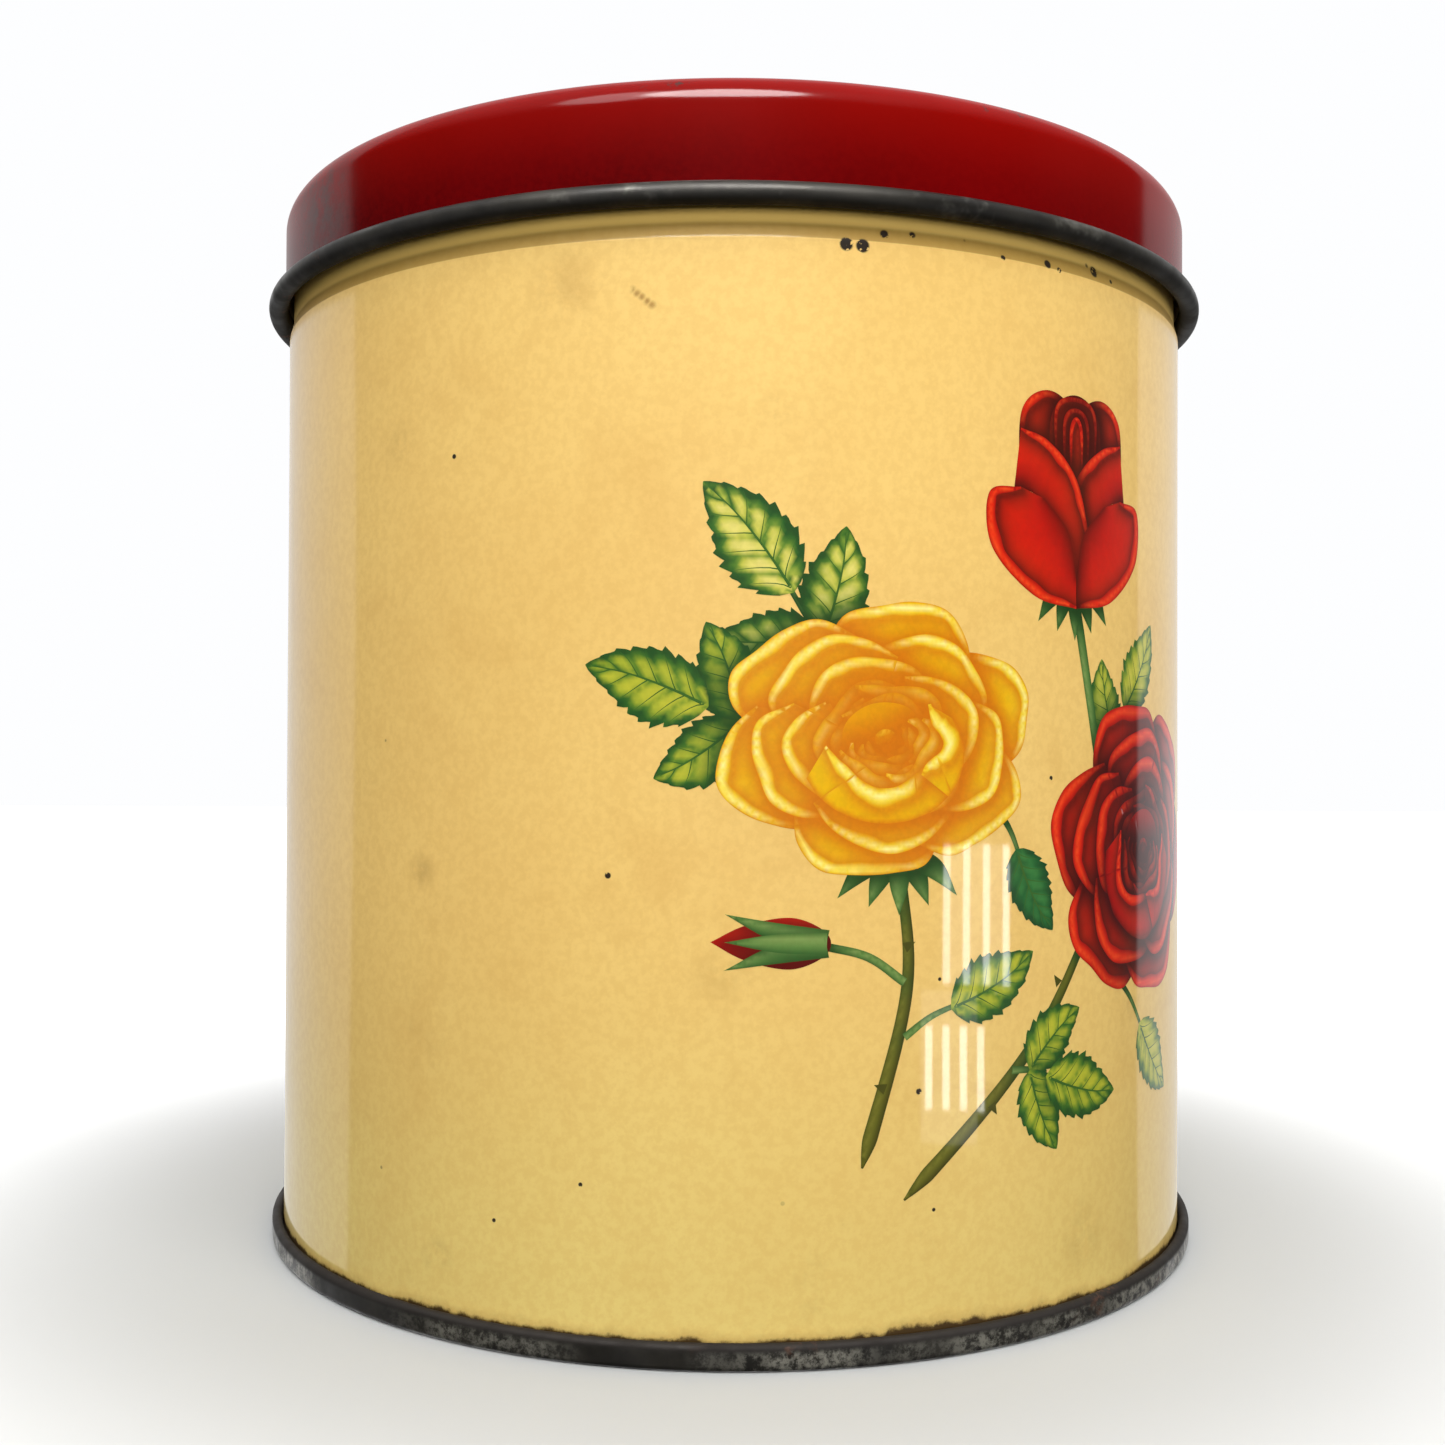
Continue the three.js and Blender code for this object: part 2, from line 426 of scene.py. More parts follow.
def cream_enamel():
    n = Surface("cream_enamel")
    z = n.axis("Z")
    base = n.mix(n.rise(0, 50, 0.8, 0.0), rgb(240, 202, 119), rgb(229, 207, 123))
    base = aged_varnish(n, base)
    grain = n.noise(1100, 3, 0.65)
    base = n.mix(n.ramp(grain, 0.35, 0.65, 0.0, 0.22), base, rgb(208, 160, 80))
    # stains, specks and chips
    marks = n.strongest(n.near(on_wall(at, height), radius) for at, height, radius in SPECKS)
    stain = n.strongest(
        n.times(n.near(on_wall(at, height), radius), strength) for at, height, radius, strength in STAINS
    )
    blotched = n.times(stain, n.ramp(n.noise(260, 5, 0.65), 0.35, 0.6))
    base = n.mix(blotched, base, rgb(140, 92, 34))
    rough_edge = n.times(marks, n.ramp(n.noise(2200, 2), 0.30, 0.45))
    specks = n.ramp(rough_edge, 0.15, 0.45)
    fine = n.times(n.ramp(n.spots(130), 0.035, 0.02), n.ramp(n.noise(40, 2), 0.52, 0.62))
    base = n.mix(n.times(fine, 0.6), base, rgb(95, 75, 40))
    # brown bleed above the base seam and under the lid's bead
    wander = n.times(n.math("SUBTRACT", n.noise(190, 6, 0.7), 0.5), 0.0026)
    blotch = n.times(n.ramp(n.noise(46, 3), 0.55, 0.68), 0.0006)
    low = n.math("SUBTRACT", n.math("ADD", z, wander), blotch)
    halo = n.ramp(low, 0.0024, 0.0038, 1.0, 0.0)
    base = n.mix(n.times(halo, 0.4), base, rgb(150, 104, 40))
    rust = n.ramp(low, 0.0024, 0.0029, 1.0, 0.0)
    base = n.mix(n.times(rust, 0.95), base, rgb(50, 32, 16))
    high = n.math("ADD", z, n.times(wander, 0.45))
    neck = n.times(n.ramp(high, 0.1124, 0.1136), n.ramp(n.noise(60, 3), 0.45, 0.6))
    base = n.mix(n.times(neck, 0.3), base, rgb(96, 70, 34))
    # painted shade: the shoulder between the wall and the neck is darkened to brown
    painted_shade_shoulder = n.times(
        n.rise(SHOULDER_LOW - 0.02, SHOULDER_LOW + 0.1), n.rise(SHOULDER_HIGH + 0.4, SHOULDER_HIGH - 0.2)
    )
    base = n.mix(n.times(painted_shade_shoulder, 0.7), base, rgb(150, 116, 44))
    # painted light: the neck under the lid's bead is brightened to a clean yellow
    painted_light_neck = n.rise(SHOULDER_HIGH - 0.4, SHOULDER_HIGH + 0.2)
    base = n.mix(n.times(painted_light_neck, 0.85), base, rgb(246, 206, 112))
    margin = n.rise(BARE_MARGIN, BARE_MARGIN + 0.5)
    base = n.mix(margin, base, rgb(176, 158, 116))
    base = n.mix(specks, base, rgb(44, 36, 28))
    n.set(Base_Color=base, Roughness=n.ramp(n.noise(45, 4), 0.3, 0.7, 0.45, 0.6), Specular_IOR_Level=0.1)
    n.set(Coat_Weight=n.rise(SHOULDER_LOW - 1.4, SHOULDER_LOW - 0.2, 0.68, 0.12), Coat_Roughness=0.05)
    varnish_surface(n)
    return n.material


def scratches(n):
    """Thin wandering lines on the varnish."""
    def lines(turn, seed):
        stretch = n.scaled((900, 900, 14), (seed, seed, seed), turn)
        return n.ramp(n.noise(1.0, 0, vector=stretch), 0.80, 0.86)

    every = n.strongest(lines(turn, seed) for turn, seed in ((0.5, 3.0), (-0.9, 11.0), (1.35, 23.0)))
    return n.times(every, n.ramp(n.noise(35, 2), 0.48, 0.6))


def varnish_surface(n):
    """The slight unevenness of the varnish over the enamel and the print, with its scratches."""
    swell = n.times(n.noise(130, 2), 1.2)
    pimple = n.times(n.noise(420, 3), 0.5)
    scratch = n.times(scratches(n), -0.6)
    n.bump(n.math("ADD", n.math("ADD", swell, pimple), scratch), 0.00003, 0.6)


def red_enamel():
    n = Surface("red_enamel")
    base = n.mix(n.ramp(n.noise(60, 4), 0.35, 0.7), rgb(84, 0, 3), rgb(68, 0, 2))
    # painted light: the lacquer is brighter towards one side, where light falls, and brighter towards the top
    # corner
    base = n.mix(n.ramp(n.axis("X"), -0.05, 0.05, 0.0, 0.3), base, rgb(146, 4, 3))
    base = n.mix(n.rise(115.0, 126.2, 0.0, 0.5), base, rgb(166, 14, 4))
    grain = n.ramp(n.noise(1500, 3, 0.6), 0.35, 0.65, 0.0, 0.16)
    base = n.mix(grain, base, rgb(130, 8, 6))
    # wear on the top corner, in scattered chips and one rubbed patch
    edge = n.times(n.rise(124.0, 125.5), n.ramp(n.from_axis(), 0.0530, 0.0555))
    chips = n.times(n.ramp(n.noise(330, 5, 0.7), 0.63, 0.67), edge)
    patch_place = on_wall(-54, 120.5, LID_RADIUS)
    patch = n.times(n.near(patch_place, 11), n.ramp(n.noise(260, 6, 0.75), 0.40, 0.62))
    worn = n.math("MAXIMUM", chips, n.times(patch, 0.75))
    nicks = n.times(n.ramp(n.noise(240, 4, 0.6), 0.70, 0.74), n.ramp(n.noise(30, 2), 0.5, 0.6))
    worn = n.math("MAXIMUM", worn, n.times(nicks, n.rise(125.0, 125.4)))
    base = n.mix(worn, base, rgb(66, 52, 50))
    n.set(Base_Color=base, Roughness=n.ramp(worn, 0.0, 1.0, 0.5, 0.7), Metallic=0.0)
    n.set(Coat_Weight=0.42, Coat_Roughness=0.12, Specular_IOR_Level=0.0)
    relief = n.math("ADD", n.times(n.noise(500, 3), 0.3), n.times(worn, -0.8))
    n.bump(relief, 0.00004, 0.6)
    return n.material


def dark_steel():
    """Bare tinplate that has darkened, rubbed bright in places, with a little rust, and painted shade under the
    lid's bead.
    """
    n = Surface("dark_steel")
    stain = n.noise(110, 6, 0.65)
    base = n.mix(n.ramp(stain, 0.35, 0.65), rgb(36, 34, 31), rgb(54, 51, 45))
    rubbed = n.ramp(n.noise(75, 5, 0.7), 0.58, 0.70)
    base = n.mix(n.times(rubbed, 0.45), base, rgb(128, 126, 118))
    # darker on the ledge over the base seam, and painted shade on the underside of the lid's bead
    ledge = n.times(n.rise(5.0, 4.0), n.rise(1.8, 2.3))
    base = n.mix(n.times(ledge, 0.8), base, rgb(30, 23, 18))
    under = n.times(n.rise(100.0, 101.0), n.rise(113.9, 113.0))
    base = n.mix(n.times(under, 0.55), base, rgb(20, 18, 15))
    # rubbed through to pale metal along the foot, in speckled runs
    runs = n.noise(32, 3, vector=n.scaled((1, 1, 0.2), offset=(0.031, 0, 0)))
    foot = n.times(n.rise(2.3, 1.6), n.ramp(runs, 0.40, 0.56))
    speckle = n.times(foot, n.ramp(n.noise(1000, 7, 0.78), 0.42, 0.60))
    base = n.mix(n.times(speckle, 0.75), base, rgb(158, 155, 142))
    rust = n.times(n.ramp(n.noise(240, 6, 0.7), 0.58, 0.70), n.ramp(n.noise(30, 2), 0.5, 0.62))
    base = n.mix(n.times(rust, 0.7), base, rgb(92, 52, 26))
    n.set(Base_Color=base, Metallic=n.ramp(rust, 0.0, 1.0, 0.45, 0.1))
    shade = n.times(n.math("MAXIMUM", ledge, under), 0.3)
    n.set(Roughness=n.math("ADD", shade, n.ramp(n.noise(190, 4), 0.3, 0.7, 0.34, 0.58)))
    n.bump(n.noise(900, 4, 0.6), 0.00003, 0.5)
    return n.material


def bright_tin():
    """Clean tinplate of the inside: soft spangle, faint rolling lines and a few rust blooms."""
    n = Surface("bright_tin")
    spangle = n.noise(220, 3, vector=n.scaled((1, 1, 0.4)))
    base = n.mix(n.ramp(spangle, 0.35, 0.65), rgb(206, 204, 196), rgb(186, 183, 172))
    bloom = n.times(n.ramp(n.noise(120, 7, 0.72), 0.60, 0.72), n.ramp(n.noise(16, 2), 0.46, 0.62))
    base = n.mix(n.times(bloom, 0.6), base, rgb(128, 88, 50))
    n.set(Base_Color=base, Metallic=n.ramp(bloom, 0.0, 1.0, 0.6, 0.1))
    n.set(Roughness=n.ramp(n.noise(60, 4), 0.3, 0.7, 0.30, 0.46))
    lines = n.noise(1.0, 2, vector=n.scaled((500, 500, 4000)))
    n.bump(lines, 0.00001, 0.4)
    return n.material


def printed_ink():
    n = Surface("printed_ink")
    base = aged_varnish(n, n.add("ShaderNodeAttribute", attribute_name="ink").outputs["Color"], 0.12)
    screen = n.ramp(n.noise(1500, 2, 0.6), 0.35, 0.65, 0.0, 0.07)
    base = n.mix(screen, base, rgb(70, 40, 20))
    n.set(Base_Color=base, Roughness=n.ramp(n.noise(45, 4), 0.3, 0.7, 0.45, 0.6), Specular_IOR_Level=0.1)
    n.set(Coat_Weight=0.68, Coat_Roughness=0.05)
    varnish_surface(n)
    return n.material


def solder_metal():
    n = Surface("soft_solder")
    base = n.mix(n.noise(300, 4), rgb(150, 148, 142), rgb(112, 110, 104))
    n.set(Base_Color=base, Metallic=0.9, Roughness=n.ramp(n.noise(200, 4), 0.3, 0.7, 0.4, 0.6))
    n.bump(n.noise(500, 3), 0.0001, 0.8)
    return n.material


def dried_compound():
    n = Surface("dried_compound")
    n.set(Base_Color=n.mix(n.noise(400, 4), rgb(98, 78, 54), rgb(70, 52, 34)), Roughness=0.85)
    n.bump(n.noise(900, 3), 0.00005, 0.6)
    return n.material


# Chips near the top, then specks: distance round from the front, height and radius, in millimetres
WEAR = np.random.default_rng(11)
SPECKS = [
    *((WEAR.uniform(10, 50), WEAR.uniform(109, 113), WEAR.uniform(0.4, 1.1)) for _ in range(12)),
    *((WEAR.uniform(-45, 50), WEAR.uniform(10, 90), WEAR.uniform(0.3, 0.5)) for _ in range(8)),
]


def soft_stain():
    return WEAR.uniform(-40, 50), WEAR.uniform(6, 108), WEAR.uniform(1.5, 6.0), WEAR.uniform(0.15, 0.4)


# A short brown scratch, then soft stains: distance round, height, radius, strength
STAINS = [
    *((-10 + 0.5 * k, 105 - 0.4 * k, 0.6, 0.8) for k in range(5)),
    *(soft_stain() for _ in range(9)),
]


# ---- studio
WHITE = (1, 1, 1)


def area_light(name, place, target, size, power, colour=WHITE, shines="diffuse", shape="RECTANGLE"):
    """A soft panel. A diffuse one lights the surfaces; a glossy one only shows in the varnish."""
    data = bpy.data.lights.new(name, "AREA")
    data.shape = shape
    data.size, data.size_y = size
    data.energy = power
    data.color = colour
    light = bpy.data.objects.new(name, data)
    light.location = place
    light.rotation_euler = (Vector(target) - Vector(place)).to_track_quat("-Z", "Y").to_euler()
    light.visible_camera = False
    light.visible_glossy = shines == "glossy"
    light.visible_diffuse = shines == "diffuse"
    bpy.context.scene.collection.objects.link(light)


LENS = 39.75
CAMERA_PLACE = (0, -0.2121, 0.0608)  # in front, at mid height


def camera():
    data = bpy.data.cameras.new("camera")
    data.sensor_width = 36.0
    data.lens = LENS
    obj = bpy.data.objects.new("camera", data)
    turn, tilt, roll = math.radians(0.33), math.radians(90.64), math.radians(0.23)
    obj.matrix_world = (
        Matrix.Translation(CAMERA_PLACE)
        @ Matrix.Rotation(turn, 4, "Z") @ Matrix.Rotation(tilt, 4, "X") @ Matrix.Rotation(roll, 4, "Z")
    )
    data.clip_start = 0.01
    bpy.context.scene.collection.objects.link(obj)
    bpy.context.scene.camera = obj


def floor():
    """Pale seamless floor that glows, with a painted shadow round the tin where its glow fades out."""
    mesh = bpy.data.meshes.new("floor")
    mesh.from_pydata([(-0.9, -0.6, 0), (0.9, -0.6, 0), (0.9, 1.2, 0), (-0.9, 1.2, 0)], [], [(0, 1, 2, 3)])
    obj = bpy.data.objects.new("floor", mesh)
    obj.location.z = -0.00002
    bpy.context.scene.collection.objects.link(obj)
    n = Surface("floor")
    n.set(Base_Color=(0.50, 0.51, 0.51, 1), Roughness=0.9, Specular_IOR_Level=0.1)
    away = n.add("ShaderNodeVectorMath", operation="LENGTH")
    n.link(n.place(), away.inputs[0])
    # painted light and shade: the floor glows, fading to no glow round the tin as a painted shadow
    n.set(Emission_Color=(1, 1, 1, 1), Emission_Strength=n.ramp(away.outputs["Value"], 0.066, 0.16, 0.0, 0.9))
    mesh.materials.append(n.material)
    obj.visible_glossy = False
    obj.visible_diffuse = False


def world():
    """White surroundings: brightest behind the tin and overhead, dimmer in front of it."""
    data = bpy.data.worlds.new("world")
    bpy.context.scene.world = data
    data.use_nodes = True
    n = Nodes(data.node_tree)
    split = n.add("ShaderNodeSeparateXYZ")
    n.link(n.add("ShaderNodeTexCoord").outputs["Generated"], split.inputs[0])
    back = n.math("ADD", n.times(split.outputs["X"], SKY_LEAN), split.outputs["Y"])
    behind = n.ramp(back, 0.35, 0.39, 0.05, 1.0)
    above = n.ramp(split.outputs["Z"], 0.35, 0.9, 0.0, 0.6)
    seen = n.strongest((behind, above, n.add("ShaderNodeLightPath").outputs["Is Camera Ray"]))
    light = n.add("ShaderNodeBackground")
    light.inputs["Color"].default_value = (0.985, 0.99, 1.0, 1)
    n.link(seen, light.inputs["Strength"])
    output = n.add("ShaderNodeOutputWorld")
    n.link(light.outputs[0], output.inputs["Surface"])


SKY_LEAN = -0.114  # turns the bright half of the surroundings a little to one side
WINDOW_CENTRE = (0.023, -0.052)
WINDOW_DISTANCE = 0.07
# Panes of light that show in the varnish, two broad and eight narrow:
# direction in degrees, width, middle height, tall, brightness
WINDOW_BARS = [
    (62, 0.026, 0.036, 0.020, 2.5), (52, 0.024, 0.014, 0.022, 2.0),
    *((turn, 0.003, 0.036, 0.020, 12) for turn in (51, 58, 65, 72)),
    *((turn, 0.003, 0.014, 0.012, 14) for turn in (45, 51, 57, 63)),
]


def studio():
    camera()
    floor()
    world()
    middle = (0, 0, 0.06)
    area_light("key", (0.12, -0.40, 0.50), (0, 0, 0.09), (0.55, 0.30), 2.9, (1.0, 0.985, 0.96))
    area_light("front", (0.04, -0.75, 0.12), (0, 0, 0.07), (0.5, 0.3), 2.25)
    area_light("right", (0.55, 0.02, 0.22), middle, (0.35, 0.35), 0.65)
    area_light("fill", (-0.34, -0.40, 0.55), middle, (0.6, 0.4), 1.6)
    area_light("top", (0.0, 0.25, 0.9), middle, (0.9, 0.9), 2.6)
    lid_front = (0, -0.03, 0.12)
    area_light("skylight", (-0.015, -0.40, 0.46), lid_front, (0.29, 0.25), 4.8, WHITE, "glossy", "ELLIPSE")
    area_light("side_sky", (-0.20, -0.36, 0.46), lid_front, (0.22, 0.26), 0.9, WHITE, "glossy", "ELLIPSE")
    x, y = WINDOW_CENTRE
    for turn, width, height, tall, glow in WINDOW_BARS:
        angle = math.radians(turn)
        place = (x + WINDOW_DISTANCE * math.sin(angle), y - WINDOW_DISTANCE * math.cos(angle), height)
        power = glow * math.pi * width * tall
        area_light("window", place, (x, y, height), (width, tall), power, shines="glossy")
    bpy.context.scene.view_settings.view_transform = "Standard"


# ---- the printed spray
# Everything below is drawn flat, in millimetres: x runs round the wall from the front, y is height.
YELLOW = [(0, 200, 86, 0), (0.12, 220, 134, 0), (0.32, 234, 184, 0), (0.75, 238, 198, 4), (1, 246, 216, 56)]
YELLOW_ROLL = [
    (0, 218, 144, 0), (0.25, 242, 206, 36), (0.6, 255, 240, 150), (0.85, 243, 208, 40), (1, 222, 150, 0),
]
RED = [(0, 100, 0, 0), (0.18, 146, 2, 1), (0.42, 194, 12, 2), (0.8, 218, 30, 2), (1, 232, 50, 8)]
RED_ROLL = [(0, 168, 5, 1), (0.3, 222, 32, 3), (0.6, 242, 76, 26), (0.85, 216, 30, 4), (1, 164, 5, 1)]
BRIGHT_LEAF = [
    (0, 224, 212, 112), (0.28, 190, 190, 70), (0.5, 92, 130, 40), (0.8, 36, 92, 30), (1, 24, 74, 28),
]
LEAF = [(0, 186, 186, 52), (0.3, 150, 164, 44), (0.55, 84, 124, 36), (0.8, 38, 94, 32), (1, 24, 76, 30)]
DEEP_LEAF = [(0, 52, 122, 58), (0.4, 28, 98, 46), (1, 12, 70, 34)]
PALE_LEAF = [(0, 204, 200, 76), (0.4, 176, 180, 54), (0.7, 112, 142, 44), (1, 48, 98, 36)]
STEM = [(0, 50, 54, 12), (0.35, 88, 90, 22), (0.7, 116, 116, 38), (1, 74, 78, 20)]
GREEN_STEM = [(0, 50, 92, 40), (0.35, 92, 132, 62), (0.7, 130, 156, 84), (1, 70, 110, 48)]
LEAF_VEIN = [(0, 50, 96, 34), (1, 50, 96, 34)]
TONES = {"yellow": YELLOW, "red": RED}
ROLL_TONES = {"yellow": YELLOW_ROLL, "red": RED_ROLL}
HEART_ROLL = {"yellow": (0.78, 0.10), "red": (0.52, 0.08)}  # width of the rolled lips, lightening
PETAL_RINGS = ((6, 1.0, 0.30), (5, 0.80, 0.22), (4, 0.60, 0.12))  # petals, reach of the lip, of the foot
HEART_CURL = 0.08
HEART_DEPTH = 0.5
THORN_SIZE = 1.3
SHADE = {"yellow": (208, 112, 0), "red": (56, 0, 2), "green": (18, 60, 22)}


def spline(points, step=0.35):
    """Smooth open curve through the points."""
    p = np.array(points, float)
    p = np.vstack([2 * p[0] - p[1], p, 2 * p[-1] - p[-2]])
    out = []
    for a, b, c, d in zip(p[:-3], p[1:-2], p[2:-1], p[3:]):
        t = np.linspace(0, 1, max(2, math.ceil(np.hypot(*(c - b)) / step)), endpoint=False)[:, None]
        square = (2 * a - 5 * b + 4 * c - d) * t ** 2
        cube = (3 * b - a - 3 * c + d) * t ** 3
        out.append(0.5 * (2 * b + (c - a) * t + square + cube))
    return np.vstack(out + [p[-2:-1]])


def gap(points, line):
    """Distance from each point to a line, and how far along the line that is, from 0 to 1."""
    a, b = line[:-1], line[1:]
    run = b - a
    size = np.maximum((run ** 2).sum(1), 1e-12)
    t = np.clip(((points[:, None] - a) * run).sum(2) / size, 0, 1)
    away = np.hypot(*np.moveaxis(points[:, None] - a - t[..., None] * run, 2, 0))
    best = away.argmin(1)
    rows = np.arange(len(points))
    length = np.concatenate([[0], np.cumsum(np.sqrt(size))])
    along = (length[best] + t[rows, best] * np.sqrt(size)[best]) / length[-1]
    return away[rows, best], along


def ramp(stops, t):
    """Screen colours from 0 to 255, read off stops of (place, red, green, blue)."""
    t = np.clip(t, 0, 1)
    at = [s[0] for s in stops]
    return np.column_stack([np.interp(t, at, [s[k] for s in stops]) for k in (1, 2, 3)])


def blend(a, b, w):
    return a + (np.asarray(b, float) - a) * np.clip(w, 0, 1)[:, None]


def wave(t, seed):
    """Soft irregular wave between -1 and 1."""
    return (np.sin(t * 1.0 + seed) + np.sin(t * 2.3 + seed * 1.7) + 0.7 * np.sin(t * 4.1 + seed * 2.9)) / 2.7


class Shape:
    """A closed outline and the colours inside it. casts says how strongly it darkens what it covers."""

    def __init__(self, outline, paint, dark, casts=0.0):
        self.outline = np.array(outline)
        self.paint = paint
        self.dark = dark
        self.casts = casts
        self.low = self.outline.min(0)
        self.high = self.outline.max(0)


def petal(lip, base, kind, roll, seed=0.0, lift=0.0):
    """A petal from its rolled lip to the line where it goes into the flower."""
    lip_line = spline(lip)
    base_line = spline(base)
    length = np.hypot(*np.diff(lip_line, axis=0).T).sum()

    def paint(points):
        to_lip, along = gap(points, lip_line)
        to_base, _ = gap(points, base_line)
        t = to_base / (to_base + to_lip + 1e-6)
        veins = wave(along * length * 2.6, seed) * 0.055 * (1 - np.abs(t - 0.5))
        return ramp(TONES[kind], t ** 0.8 + veins + lift)

    outline = np.vstack([lip_line, base_line])
    return [Shape(outline, paint, SHADE[kind], 0.62), rolled(lip_line, base_line, kind, roll, seed)]


def rolled(lip_line, base_line, kind, width, seed):
    """The rolled band along a lip, widest in the middle and pinched here and there."""
    step = np.gradient(lip_line, axis=0)
    step /= np.hypot(*step.T)[:, None]
    across = np.column_stack([-step[:, 1], step[:, 0]])
    middle = len(lip_line) // 2
    inward = base_line.mean(0) - lip_line[middle]
    if across[middle] @ inward < 0:
        across = -across
    t = np.linspace(0, 1, len(lip_line))
    size = width * np.sin(math.pi * np.clip(t, 0.02, 0.98)) ** 0.55 * (1 + 0.22 * wave(t * 9, seed))
    inner = lip_line + across * size[:, None]
    outer = lip_line - across * (0.12 * size)[:, None]

    def paint(points):
        inside, along = gap(points, inner)
        outside, _ = gap(points, outer)
        t = inside / (inside + outside + 1e-6)
        return ramp(ROLL_TONES[kind], t * (1 + 0.08 * wave(along * 14, seed)))

    return Shape(np.vstack([outer, inner[::-1]]), paint, SHADE[kind], 0.75)


def heart(centre, rings, squash, kind, turn, seed):
    """The furled middle of a rose: back lips from outside in, then front lips from inside out."""
    shapes = []
    roll, lift = HEART_ROLL[kind]
    inner = rings[-1]

    def loop(radius, start, end, grow, number, drop=0.0):
        a = np.radians(np.linspace(start, end, 9)) + turn
        r = radius * (1 + grow * np.sin(np.linspace(0, 3.2 * math.pi, 9) + number * 1.9 + seed))
        spokes = zip(r, a)
        return [(centre[0] + q * math.cos(b), centre[1] + q * squash * math.sin(b) - drop) for q, b in spokes]

    for number, radius in enumerate(rings):
        for start, end in ((62, 196), (-22, 96)) if number % 2 == 0 else ((95, 214), (-10, 128)):
            lip = loop(radius, start, end, HEART_CURL, number + start)
            foot = loop(radius * 0.35, end, start, 0.0, number)
            shapes += petal(lip, foot, kind, roll * radius ** 0.35, seed=seed + number, lift=lift)
    core = loop(inner * 2.0, 0, 360, 0.0, 0)
    core = spline(core[:-1] + core[:1])[:-1]
    shapes.append(Shape(core, lambda p: ramp(TONES[kind], np.full(len(p), 0.2)), SHADE[kind]))
    lip, foot = loop(inner * 0.5, 20, 200, 0, 0), loop(inner * 0.3, 230, 340, 0, 0)
    shapes += petal(lip, foot, kind, roll * 0.8, lift=-0.1)
    for number, radius in reversed(list(enumerate(rings))):
        for start, end in ((176, 292), (250, 372)) if number % 2 else ((168, 318), (290, 384)):
            lip = loop(radius * 0.86, start, end, HEART_CURL * 1.1, number - start)
            drop = radius * HEART_DEPTH * 0.45
            foot = loop(radius * (1 + HEART_DEPTH * 0.5), end - 12, start + 12, 0.0, number, drop)
            shapes += petal(lip, foot, kind, roll * radius ** 0.35, seed=seed * 2 + number, lift=lift)
    return shapes


def leaf(base, tip, width, bend, tones, teeth, veins, light, seed):
    """A toothed leaf with a midrib and curved side veins, paler between the veins."""
    run = tip - base
    size = np.hypot(*run)
    side = np.array([-run[1], run[0]]) / size
    rib = spline([base, base + run * 0.33 + side * bend * 0.8, base + run * 0.68 + side * bend * 0.9, tip], 0.4)
    t = np.linspace(0, 1, len(rib))
    step = np.gradient(rib, axis=0)
    across = np.column_stack([-step[:, 1], step[:, 0]]) / np.hypot(*step.T)[:, None]

    def half(t, sign):
        body = np.sin(math.pi * np.clip(t, 0, 1) ** 0.74) ** 0.82 * (1 + 0.09 * sign)
        return width / 2 * body

    def place(t_at, v):
        """Point at a share of the rib's length and a share of the half width."""
        at = np.column_stack([np.interp(t_at, t, rib[:, k]) for k in (0, 1)])
        off = np.column_stack([np.interp(t_at, t, across[:, k]) for k in (0, 1)])
        return at + off * (v * half(t_at, np.sign(v)))[:, None]

    def margin(sign):
        out = []
        for k in range(teeth):
            start, end = 0.03 + 0.97 * k / teeth, 0.03 + 0.97 * (k + 1) / teeth
            bite = 0.045 + 0.05 * math.sin(k * 2.3 + seed + sign)
            tooth = ((0.05, 1 - bite), (0.35, 0.99), (0.7, 1.04 + bite * 0.3), (0.97, 1.05 + bite))
            for share, reach in tooth:
                out.append((start + (end - start) * share, reach))
        ts, reach = np.array(out).T
        return place(np.minimum(ts, 0.995), sign * reach)

    outline = np.vstack([rib[:1], margin(1), rib[-1:], margin(-1)[::-1]])

    def paint(points):
        away, along = gap(points, rib)
        nearest = np.column_stack([np.interp(along, t, rib[:, k]) for k in (0, 1)])
        off = np.column_stack([np.interp(along, t, across[:, k]) for k in (0, 1)])
        sign = np.sign(((points - nearest) * off).sum(1))
        v = np.clip(away / np.maximum(half(along, sign), 0.25), 0, 1.2)
        lobe = np.abs(((along - 0.20 * v ** 0.8) * veins + 0.5 + 0.25 * sign) % 1 - 0.5) * 2
        rim = 0.95 * np.clip((v - 0.45) / 0.5, 0, 1) ** 1.2
        tone = rim + 0.50 * (1 - lobe) ** 2 + 0.28 * np.exp(-away / 0.5)
        end = 0.35 * np.clip((along - 0.8) / 0.2, 0, 1)
        tone += 0.10 * wave(along * 17 + v * 5, seed) - light * sign + end
        return ramp(tones, tone)

    shapes = [Shape(outline, paint, SHADE["green"], 0.5)]
    for sign in (1, -1):
        for k in range(1, veins + 1):
            start = (k - 0.5 - 0.25 * sign) / (veins + 0.6)
            reach = np.linspace(0, 0.9, 6)
            line = place(np.minimum(start + 0.20 * reach ** 0.9, 0.97), sign * np.maximum(reach, 0.001))
            if start < 0.86:
                shapes.append(stroke(line, 0.14, 0.03, LEAF_VEIN, 0.0, smooth=False))
    shapes.append(stroke(rib[2:-2], 0.30, 0.10, LEAF_VEIN, 0.0, smooth=False))
    return shapes


def stroke(line, start, end, tones, casts=0.35, smooth=True, cut=False):
    """A stem or vein of changing width."""
    line = spline(line, 0.5) if smooth else np.array(line, float)
    step = np.gradient(line, axis=0)
    across = np.column_stack([-step[:, 1], step[:, 0]]) / np.hypot(*step.T)[:, None]
    size = np.linspace(start, end, len(line))[:, None] / 2
    if cut:
        size = size * np.clip((1 - np.linspace(0, 1, len(line))[:, None]) / 0.09, 0.06, 1) ** 0.7
    left, right = line + across * size, line - across * size

    def paint(points):
        a, _ = gap(points, left)
        b, _ = gap(points, right)
        return ramp(tones, a / (a + b + 1e-6))

    return Shape(np.vstack([left, right[::-1]]), paint, SHADE["green"], casts)


